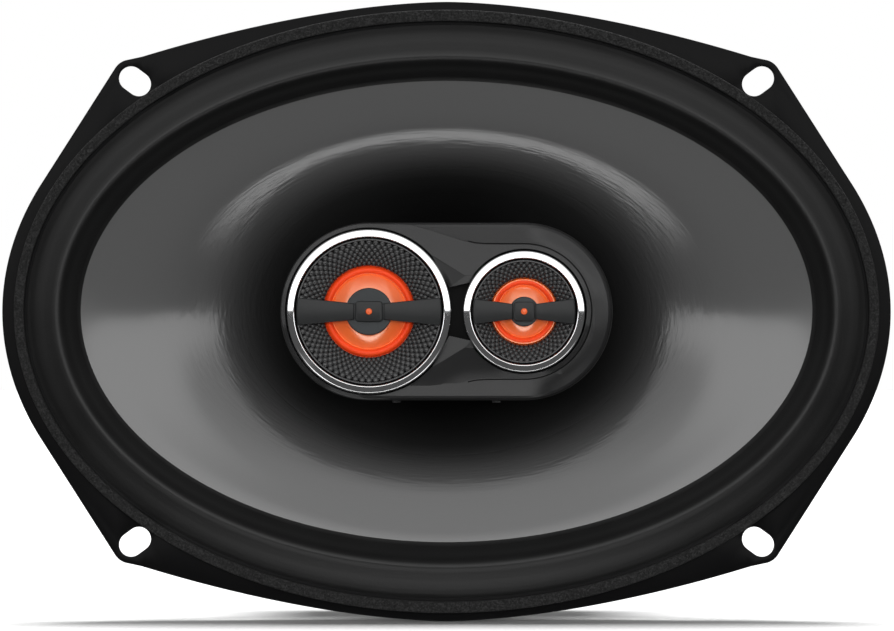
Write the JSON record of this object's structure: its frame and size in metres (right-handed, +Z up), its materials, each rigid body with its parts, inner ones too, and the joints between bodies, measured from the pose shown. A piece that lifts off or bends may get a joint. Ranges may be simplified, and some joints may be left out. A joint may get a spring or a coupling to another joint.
{
  "type": "coaxial car speaker",
  "caption": "Oval car loudspeaker: a steel basket with an elliptical cone, and a pod in front of it carrying a midrange and a tweeter.",
  "frame": {"origin": "centre of the mounting flange, on its rear face, which sits against the panel", "axes": "+X along the oval's long axis (to the right seen from the front), +Y into the panel, away from the listener, +Z up"},
  "size_m": [0.235, 0.0978, 0.1638],
  "materials": {
    "basket": "satin black paint on stamped steel",
    "front_gasket": "grainy dark grey felted paper",
    "surround": "smooth black butyl rubber with a soft shine",
    "spider": "resin-treated yellow cotton weave",
    "woofer_cone": "pearl grey mica-filled polypropylene with a satin shine",
    "coil_former": "plain thin aluminium foil",
    "voice_coil": "enamelled copper wire",
    "motor_steel": "zinc-plated steel",
    "ferrite": "matte dark grey sintered ferrite",
    "magnet_boot": "matte black moulded rubber",
    "rivets": "plain zinc-plated rivets",
    "terminal_board": "matte black phenolic board",
    "terminal_brass": "plain stamped brass",
    "tinsel_leads": "braided copper tinsel",
    "feed_wires": "matte black insulation",
    "centre_post": "matte black moulded plastic",
    "nuts": "zinc-plated steel",
    "pod_cup": "fine matte black plastic",
    "pod_bezel": "dark grey plastic with a satin sheen",
    "screws": "zinc-plated steel",
    "crossover_board": "green circuit board",
    "capacitors": "glossy dark blue sleeve",
    "trim_rings": "polished chrome plating",
    "waveguides": "black embossed metal mesh",
    "bridges": "dark slate grey plastic",
    "bridge_dots": "plain orange enamel bead",
    "phase_plugs": "dark slate grey plastic",
    "frame_rings": "matte black moulded plastic",
    "small_magnets": "nickel-plated neodymium",
    "diaphragms": "orange translucent polymer film with a satin shine"
  },
  "bodies": {
    "chassis": {"basket": "basket", "front_gasket": "front_gasket", "surround": "surround", "spider": "spider", "top_plate": "motor_steel", "magnet": "ferrite", "pole_yoke": "motor_steel", "magnet_boot": "magnet_boot", "basket_rivets": "rivets", "terminal_board": "terminal_board", "terminal_positive": "terminal_brass", "terminal_negative": "terminal_brass", "terminal_rivets": "rivets", "tinsel_leads": "tinsel_leads", "feed_wires": "feed_wires", "centre_post": "centre_post", "post_front_nut": "nuts", "post_rear_nut": "nuts", "pod_cup": "pod_cup", "pod_bezel": "pod_bezel", "pod_screws": "screws", "crossover_board": "crossover_board", "mid_capacitor": "capacitors", "tweeter_capacitor": "capacitors", "mid_trim_ring": "trim_rings", "mid_waveguide": "waveguides", "mid_bridge": "bridges", "mid_bridge_dot": "bridge_dots", "mid_phase_plug": "phase_plugs", "mid_frame_ring": "frame_rings", "mid_magnet": "small_magnets", "mid_cup": "motor_steel", "mid_front_plate": "motor_steel", "tweeter_trim_ring": "trim_rings", "tweeter_waveguide": "waveguides", "tweeter_bridge": "bridges", "tweeter_bridge_dot": "bridge_dots", "tweeter_phase_plug": "phase_plugs", "tweeter_frame_ring": "frame_rings", "tweeter_magnet": "small_magnets", "tweeter_cup": "motor_steel", "tweeter_front_plate": "motor_steel"},
    "cone": {"woofer_cone": "woofer_cone", "coil_former": "coil_former", "voice_coil": "voice_coil"},
    "mid_dome": {"mid_diaphragm": "diaphragms", "mid_voice_coil": "voice_coil"},
    "tweeter_dome": {"tweeter_diaphragm": "diaphragms", "tweeter_voice_coil": "voice_coil"}
  },
  "joints": [
    {"name": "cone_travel", "type": "slide", "parent": "chassis", "child": "cone", "axis": [0, -1, 0], "range_m": [-0.005, 0.005], "stiffness_N_per_m": 2500, "deforming": ["surround", "spider", "tinsel_leads"]},
    {"name": "mid_dome_travel", "type": "slide", "parent": "chassis", "child": "mid_dome", "axis": [0, -1, 0], "range_m": [-0.0005, 0.0005], "stiffness_N_per_m": 90},
    {"name": "tweeter_dome_travel", "type": "slide", "parent": "chassis", "child": "tweeter_dome", "axis": [0, -1, 0], "range_m": [-0.0003, 0.0003], "stiffness_N_per_m": 60}
  ]
}
